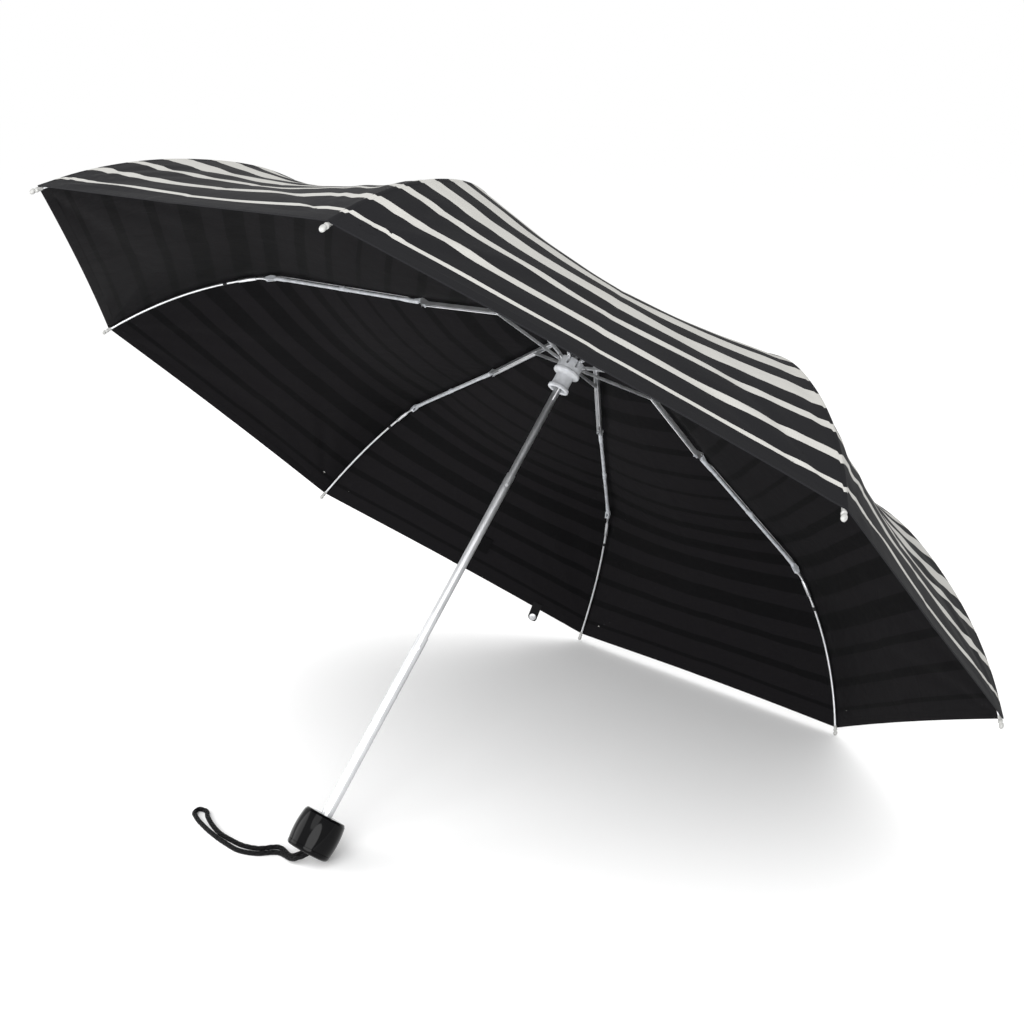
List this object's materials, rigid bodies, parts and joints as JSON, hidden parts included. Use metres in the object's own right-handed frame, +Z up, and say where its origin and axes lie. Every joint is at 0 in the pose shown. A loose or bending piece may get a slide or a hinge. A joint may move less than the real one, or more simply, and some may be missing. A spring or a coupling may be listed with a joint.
{
  "type": "folding umbrella",
  "caption": "Three-fold manual umbrella, open and lying on two rib tips and its handle, with telescopic shaft, sliding runner, folding ribs and wrist strap.",
  "frame": {"origin": "centre of the bounding box (without the wrist strap) on the floor that the umbrella lies on", "axes": "+X horizontally along the shaft towards the canopy, +Y across the mirror plane, +Z up from the floor; the shaft rises at about 50 degrees towards +X"},
  "size_m": [0.7082, 0.9098, 0.6052],
  "materials": {
    "plated_steel": "bright nickel plating, satin",
    "bright_tube_steel": "polished plated steel tube",
    "light_grey_plastic": "moulded, semi-matt",
    "grey_glassfibre": "glassfibre rod and moulded joints, semi-matt",
    "gloss_black_plastic": "moulded, high gloss",
    "black_canopy_cloth": "woven polyester, black inside and black with off-white stripes outside",
    "black_braided_cord": "braided cord, matt"
  },
  "bodies": {
    "handle": {"handle": "gloss_black_plastic", "handle_end_cap": "gloss_black_plastic", "handle_pin": "plated_steel", "strap_stopper": "gloss_black_plastic", "shaft_lower_tube": "bright_tube_steel", "wrist_strap": "black_braided_cord"},
    "middle_tube": {"shaft_middle_tube": "bright_tube_steel"},
    "upper_tube": {"shaft_upper_tube": "bright_tube_steel", "catch_rivet": "plated_steel", "top_notch": "light_grey_plastic", "notch_wire_ring": "plated_steel", "ferrule_cap": "gloss_black_plastic", "canopy": "black_canopy_cloth", "closing_band": "black_canopy_cloth", "band_snap": "plated_steel"},
    "lower_tube_catch": {"lower_tube_catch": "plated_steel"},
    "upper_tube_catch": {"upper_tube_catch": "plated_steel"},
    "runner_catch": {"runner_catch": "plated_steel"},
    "runner": {"runner": "light_grey_plastic", "runner_wire_ring": "plated_steel"},
    "top_rib_1": {"top_rib_1": "plated_steel"},
    "stretcher_1": {"stretcher_1": "plated_steel"},
    "link_wire_1": {"link_wire_1": "plated_steel"},
    "middle_rib_1": {"middle_rib_1": "grey_glassfibre"},
    "outer_rib_1": {"outer_rib_1": "plated_steel"},
    "top_rib_2": {"top_rib_2": "plated_steel"},
    "stretcher_2": {"stretcher_2": "plated_steel"},
    "link_wire_2": {"link_wire_2": "plated_steel"},
    "middle_rib_2": {"middle_rib_2": "grey_glassfibre"},
    "outer_rib_2": {"outer_rib_2": "plated_steel"},
    "top_rib_3": {"top_rib_3": "plated_steel"},
    "stretcher_3": {"stretcher_3": "plated_steel"},
    "link_wire_3": {"link_wire_3": "plated_steel"},
    "middle_rib_3": {"middle_rib_3": "grey_glassfibre"},
    "outer_rib_3": {"outer_rib_3": "plated_steel"},
    "top_rib_4": {"top_rib_4": "plated_steel"},
    "stretcher_4": {"stretcher_4": "plated_steel"},
    "link_wire_4": {"link_wire_4": "plated_steel"},
    "middle_rib_4": {"middle_rib_4": "grey_glassfibre"},
    "outer_rib_4": {"outer_rib_4": "plated_steel"},
    "top_rib_5": {"top_rib_5": "plated_steel"},
    "stretcher_5": {"stretcher_5": "plated_steel"},
    "link_wire_5": {"link_wire_5": "plated_steel"},
    "middle_rib_5": {"middle_rib_5": "grey_glassfibre"},
    "outer_rib_5": {"outer_rib_5": "plated_steel"},
    "top_rib_6": {"top_rib_6": "plated_steel"},
    "stretcher_6": {"stretcher_6": "plated_steel"},
    "link_wire_6": {"link_wire_6": "plated_steel"},
    "middle_rib_6": {"middle_rib_6": "grey_glassfibre"},
    "outer_rib_6": {"outer_rib_6": "plated_steel"},
    "top_rib_7": {"top_rib_7": "plated_steel"},
    "stretcher_7": {"stretcher_7": "plated_steel"},
    "link_wire_7": {"link_wire_7": "plated_steel"},
    "middle_rib_7": {"middle_rib_7": "grey_glassfibre"},
    "outer_rib_7": {"outer_rib_7": "plated_steel"},
    "top_rib_8": {"top_rib_8": "plated_steel"},
    "stretcher_8": {"stretcher_8": "plated_steel"},
    "link_wire_8": {"link_wire_8": "plated_steel"},
    "middle_rib_8": {"middle_rib_8": "grey_glassfibre"},
    "outer_rib_8": {"outer_rib_8": "plated_steel"}
  },
  "joints": [
    {"name": "lower_tube_slide", "type": "slide", "parent": "handle", "child": "middle_tube", "axis": [-0.6375, 0, -0.7705], "range_m": [0, 0.16], "deforming": ["lower_tube_catch"]},
    {"name": "upper_tube_slide", "type": "slide", "parent": "middle_tube", "child": "upper_tube", "axis": [-0.6375, 0, -0.7705], "range_m": [0, 0.145], "deforming": ["upper_tube_catch"]},
    {"name": "lower_tube_button", "type": "slide", "parent": "middle_tube", "child": "lower_tube_catch", "axis": [0.4952, 0.766, -0.4098], "range_m": [0, 0.0013], "stiffness_N_per_m": 400},
    {"name": "upper_tube_button", "type": "slide", "parent": "upper_tube", "child": "upper_tube_catch", "axis": [0.4952, 0.766, -0.4098], "range_m": [0, 0.0013], "stiffness_N_per_m": 400},
    {"name": "runner_button", "type": "slide", "parent": "upper_tube", "child": "runner_catch", "axis": [0.4952, 0.766, -0.4098], "range_m": [0, 0.0026], "stiffness_N_per_m": 300},
    {"name": "canopy_fold", "type": "hinge", "parent": "upper_tube", "child": "top_rib_1", "pos_m": [0.1345, 0.00364, 0.44334], "axis": [-0.2948, 0.9239, 0.244], "range_deg": [0, 75.5], "deforming": ["canopy", "closing_band", "band_snap", "runner_catch"]},
    {"name": "stretcher_1_hinge", "type": "hinge", "parent": "top_rib_1", "child": "stretcher_1", "pos_m": [0.18296, 0.03751, 0.37363], "axis": [-0.2948, 0.9239, 0.244], "range_deg": [-151.2, 0]},
    {"name": "link_wire_1_hinge", "type": "hinge", "parent": "stretcher_1", "child": "link_wire_1", "pos_m": [0.17872, 0.03565, 0.37552], "axis": [-0.2948, 0.9239, 0.244], "range_deg": [0, 151.2]},
    {"name": "middle_rib_1_hinge", "type": "hinge", "parent": "top_rib_1", "child": "middle_rib_1", "pos_m": [0.22829, 0.06753, 0.31471], "axis": [-0.2948, 0.9239, 0.244], "range_deg": [-171.49, 0]},
    {"name": "outer_rib_1_hinge", "type": "hinge", "parent": "middle_rib_1", "child": "outer_rib_1", "pos_m": [0.32545, 0.13384, 0.18101], "axis": [-0.2948, 0.9239, 0.244], "range_deg": [0, 146.37]},
    {"name": "runner_hinge", "type": "hinge", "parent": "stretcher_1", "child": "runner", "pos_m": [0.10542, 0.00364, 0.40819], "axis": [-0.2948, 0.9239, 0.244], "range_deg": [0, 75.7]},
    {"name": "top_rib_2_hinge", "type": "hinge", "parent": "upper_tube", "child": "top_rib_2", "pos_m": [0.13054, 0.00878, 0.44661], "axis": [-0.7118, 0.3827, 0.589], "range_deg": [0, 75.6]},
    {"name": "stretcher_2_hinge", "type": "hinge", "parent": "top_rib_2", "child": "stretcher_2", "pos_m": [0.14209, 0.09055, 0.40745], "axis": [-0.7118, 0.3827, 0.589], "range_deg": [-151.2, 0]},
    {"name": "link_wire_2_hinge", "type": "hinge", "parent": "stretcher_2", "child": "link_wire_2", "pos_m": [0.13987, 0.08607, 0.40767], "axis": [-0.7118, 0.3827, 0.589], "range_deg": [0, 151.2]},
    {"name": "middle_rib_2_hinge", "type": "hinge", "parent": "top_rib_2", "child": "middle_rib_2", "pos_m": [0.15471, 0.16304, 0.37559], "axis": [-0.7118, 0.3827, 0.589], "range_deg": [-171.49, 0]},
    {"name": "outer_rib_2_hinge", "type": "hinge", "parent": "middle_rib_2", "child": "outer_rib_2", "pos_m": [0.17962, 0.32313, 0.30168], "axis": [-0.7118, 0.3827, 0.589], "range_deg": [0, 146.37]},
    {"name": "top_rib_3_hinge", "type": "hinge", "parent": "upper_tube", "child": "top_rib_3", "pos_m": [0.12494, 0.00878, 0.45125], "axis": [-0.7118, -0.3827, 0.589], "range_deg": [0, 75.6]},
    {"name": "stretcher_3_hinge", "type": "hinge", "parent": "top_rib_3", "child": "stretcher_3", "pos_m": [0.0843, 0.09055, 0.45527], "axis": [-0.7118, -0.3827, 0.589], "range_deg": [-151.2, 0]},
    {"name": "link_wire_3_hinge", "type": "hinge", "parent": "stretcher_3", "child": "link_wire_3", "pos_m": [0.08493, 0.08607, 0.45313], "axis": [-0.7118, -0.3827, 0.589], "range_deg": [0, 151.2]},
    {"name": "middle_rib_3_hinge", "type": "hinge", "parent": "top_rib_3", "child": "middle_rib_3", "pos_m": [0.05065, 0.16304, 0.4617], "axis": [-0.7118, -0.3827, 0.589], "range_deg": [-171.49, 0]},
    {"name": "outer_rib_3_hinge", "type": "hinge", "parent": "middle_rib_3", "child": "outer_rib_3", "pos_m": [-0.02662, 0.32313, 0.47233], "axis": [-0.7118, -0.3827, 0.589], "range_deg": [0, 146.37]},
    {"name": "top_rib_4_hinge", "type": "hinge", "parent": "upper_tube", "child": "top_rib_4", "pos_m": [0.12097, 0.00364, 0.45453], "axis": [-0.2948, -0.9239, 0.244], "range_deg": [0, 75.6]},
    {"name": "stretcher_4_hinge", "type": "hinge", "parent": "top_rib_4", "child": "stretcher_4", "pos_m": [0.04343, 0.03751, 0.48908], "axis": [-0.2948, -0.9239, 0.244], "range_deg": [-151.2, 0]},
    {"name": "link_wire_4_hinge", "type": "hinge", "parent": "stretcher_4", "child": "link_wire_4", "pos_m": [0.04609, 0.03565, 0.48527], "axis": [-0.2948, -0.9239, 0.244], "range_deg": [0, 151.2]},
    {"name": "middle_rib_4_hinge", "type": "hinge", "parent": "top_rib_4", "child": "middle_rib_4", "pos_m": [-0.02294, 0.06753, 0.52258], "axis": [-0.2948, -0.9239, 0.244], "range_deg": [-171.49, 0]},
    {"name": "outer_rib_4_hinge", "type": "hinge", "parent": "middle_rib_4", "child": "outer_rib_4", "pos_m": [-0.17246, 0.13384, 0.593], "axis": [-0.2948, -0.9239, 0.244], "range_deg": [0, 146.37]},
    {"name": "top_rib_5_hinge", "type": "hinge", "parent": "upper_tube", "child": "top_rib_5", "pos_m": [0.12097, -0.00364, 0.45453], "axis": [0.2948, -0.9239, -0.244], "range_deg": [0, 75.6]},
    {"name": "stretcher_5_hinge", "type": "hinge", "parent": "top_rib_5", "child": "stretcher_5", "pos_m": [0.04343, -0.03751, 0.48908], "axis": [0.2948, -0.9239, -0.244], "range_deg": [-151.2, 0]},
    {"name": "link_wire_5_hinge", "type": "hinge", "parent": "stretcher_5", "child": "link_wire_5", "pos_m": [0.04609, -0.03565, 0.48527], "axis": [0.2948, -0.9239, -0.244], "range_deg": [0, 151.2]},
    {"name": "middle_rib_5_hinge", "type": "hinge", "parent": "top_rib_5", "child": "middle_rib_5", "pos_m": [-0.02294, -0.06753, 0.52258], "axis": [0.2948, -0.9239, -0.244], "range_deg": [-171.49, 0]},
    {"name": "outer_rib_5_hinge", "type": "hinge", "parent": "middle_rib_5", "child": "outer_rib_5", "pos_m": [-0.17246, -0.13384, 0.593], "axis": [0.2948, -0.9239, -0.244], "range_deg": [0, 146.37]},
    {"name": "top_rib_6_hinge", "type": "hinge", "parent": "upper_tube", "child": "top_rib_6", "pos_m": [0.12494, -0.00878, 0.45125], "axis": [0.7118, -0.3827, -0.589], "range_deg": [0, 75.6]},
    {"name": "stretcher_6_hinge", "type": "hinge", "parent": "top_rib_6", "child": "stretcher_6", "pos_m": [0.0843, -0.09055, 0.45527], "axis": [0.7118, -0.3827, -0.589], "range_deg": [-151.2, 0]},
    {"name": "link_wire_6_hinge", "type": "hinge", "parent": "stretcher_6", "child": "link_wire_6", "pos_m": [0.08493, -0.08607, 0.45313], "axis": [0.7118, -0.3827, -0.589], "range_deg": [0, 151.2]},
    {"name": "middle_rib_6_hinge", "type": "hinge", "parent": "top_rib_6", "child": "middle_rib_6", "pos_m": [0.05065, -0.16304, 0.4617], "axis": [0.7118, -0.3827, -0.589], "range_deg": [-171.49, 0]},
    {"name": "outer_rib_6_hinge", "type": "hinge", "parent": "middle_rib_6", "child": "outer_rib_6", "pos_m": [-0.02662, -0.32313, 0.47233], "axis": [0.7118, -0.3827, -0.589], "range_deg": [0, 146.37]},
    {"name": "top_rib_7_hinge", "type": "hinge", "parent": "upper_tube", "child": "top_rib_7", "pos_m": [0.13054, -0.00878, 0.44661], "axis": [0.7118, 0.3827, -0.589], "range_deg": [0, 75.6]},
    {"name": "stretcher_7_hinge", "type": "hinge", "parent": "top_rib_7", "child": "stretcher_7", "pos_m": [0.14209, -0.09055, 0.40745], "axis": [0.7118, 0.3827, -0.589], "range_deg": [-151.2, 0]},
    {"name": "link_wire_7_hinge", "type": "hinge", "parent": "stretcher_7", "child": "link_wire_7", "pos_m": [0.13987, -0.08607, 0.40767], "axis": [0.7118, 0.3827, -0.589], "range_deg": [0, 151.2]},
    {"name": "middle_rib_7_hinge", "type": "hinge", "parent": "top_rib_7", "child": "middle_rib_7", "pos_m": [0.15471, -0.16304, 0.37559], "axis": [0.7118, 0.3827, -0.589], "range_deg": [-171.49, 0]},
    {"name": "outer_rib_7_hinge", "type": "hinge", "parent": "middle_rib_7", "child": "outer_rib_7", "pos_m": [0.17962, -0.32313, 0.30168], "axis": [0.7118, 0.3827, -0.589], "range_deg": [0, 146.37]},
    {"name": "top_rib_8_hinge", "type": "hinge", "parent": "upper_tube", "child": "top_rib_8", "pos_m": [0.1345, -0.00364, 0.44334], "axis": [0.2948, 0.9239, -0.244], "range_deg": [0, 75.6]},
    {"name": "stretcher_8_hinge", "type": "hinge", "parent": "top_rib_8", "child": "stretcher_8", "pos_m": [0.18296, -0.03751, 0.37363], "axis": [0.2948, 0.9239, -0.244], "range_deg": [-151.2, 0]},
    {"name": "link_wire_8_hinge", "type": "hinge", "parent": "stretcher_8", "child": "link_wire_8", "pos_m": [0.17872, -0.03565, 0.37552], "axis": [0.2948, 0.9239, -0.244], "range_deg": [0, 151.2]},
    {"name": "middle_rib_8_hinge", "type": "hinge", "parent": "top_rib_8", "child": "middle_rib_8", "pos_m": [0.22829, -0.06753, 0.31471], "axis": [0.2948, 0.9239, -0.244], "range_deg": [-171.49, 0]},
    {"name": "outer_rib_8_hinge", "type": "hinge", "parent": "middle_rib_8", "child": "outer_rib_8", "pos_m": [0.32545, -0.13384, 0.18101], "axis": [0.2948, 0.9239, -0.244], "range_deg": [0, 146.37]}
  ],
  "couplings": [
    {"joint": "stretcher_1_hinge", "follows": "canopy_fold", "ratio": -2},
    {"joint": "link_wire_1_hinge", "follows": "canopy_fold", "ratio": 2},
    {"joint": "middle_rib_1_hinge", "follows": "canopy_fold", "ratio": -2.2687},
    {"joint": "outer_rib_1_hinge", "follows": "canopy_fold", "ratio": 1.936},
    {"joint": "runner_hinge", "follows": "canopy_fold", "ratio": 1},
    {"joint": "top_rib_2_hinge", "follows": "canopy_fold", "ratio": 1},
    {"joint": "stretcher_2_hinge", "follows": "canopy_fold", "ratio": -2},
    {"joint": "link_wire_2_hinge", "follows": "canopy_fold", "ratio": 2},
    {"joint": "middle_rib_2_hinge", "follows": "canopy_fold", "ratio": -2.2687},
    {"joint": "outer_rib_2_hinge", "follows": "canopy_fold", "ratio": 1.936},
    {"joint": "top_rib_3_hinge", "follows": "canopy_fold", "ratio": 1},
    {"joint": "stretcher_3_hinge", "follows": "canopy_fold", "ratio": -2},
    {"joint": "link_wire_3_hinge", "follows": "canopy_fold", "ratio": 2},
    {"joint": "middle_rib_3_hinge", "follows": "canopy_fold", "ratio": -2.2687},
    {"joint": "outer_rib_3_hinge", "follows": "canopy_fold", "ratio": 1.936},
    {"joint": "top_rib_4_hinge", "follows": "canopy_fold", "ratio": 1},
    {"joint": "stretcher_4_hinge", "follows": "canopy_fold", "ratio": -2},
    {"joint": "link_wire_4_hinge", "follows": "canopy_fold", "ratio": 2},
    {"joint": "middle_rib_4_hinge", "follows": "canopy_fold", "ratio": -2.2687},
    {"joint": "outer_rib_4_hinge", "follows": "canopy_fold", "ratio": 1.936},
    {"joint": "top_rib_5_hinge", "follows": "canopy_fold", "ratio": 1},
    {"joint": "stretcher_5_hinge", "follows": "canopy_fold", "ratio": -2},
    {"joint": "link_wire_5_hinge", "follows": "canopy_fold", "ratio": 2},
    {"joint": "middle_rib_5_hinge", "follows": "canopy_fold", "ratio": -2.2687},
    {"joint": "outer_rib_5_hinge", "follows": "canopy_fold", "ratio": 1.936},
    {"joint": "top_rib_6_hinge", "follows": "canopy_fold", "ratio": 1},
    {"joint": "stretcher_6_hinge", "follows": "canopy_fold", "ratio": -2},
    {"joint": "link_wire_6_hinge", "follows": "canopy_fold", "ratio": 2},
    {"joint": "middle_rib_6_hinge", "follows": "canopy_fold", "ratio": -2.2687},
    {"joint": "outer_rib_6_hinge", "follows": "canopy_fold", "ratio": 1.936},
    {"joint": "top_rib_7_hinge", "follows": "canopy_fold", "ratio": 1},
    {"joint": "stretcher_7_hinge", "follows": "canopy_fold", "ratio": -2},
    {"joint": "link_wire_7_hinge", "follows": "canopy_fold", "ratio": 2},
    {"joint": "middle_rib_7_hinge", "follows": "canopy_fold", "ratio": -2.2687},
    {"joint": "outer_rib_7_hinge", "follows": "canopy_fold", "ratio": 1.936},
    {"joint": "top_rib_8_hinge", "follows": "canopy_fold", "ratio": 1},
    {"joint": "stretcher_8_hinge", "follows": "canopy_fold", "ratio": -2},
    {"joint": "link_wire_8_hinge", "follows": "canopy_fold", "ratio": 2},
    {"joint": "middle_rib_8_hinge", "follows": "canopy_fold", "ratio": -2.2687},
    {"joint": "outer_rib_8_hinge", "follows": "canopy_fold", "ratio": 1.936}
  ]
}
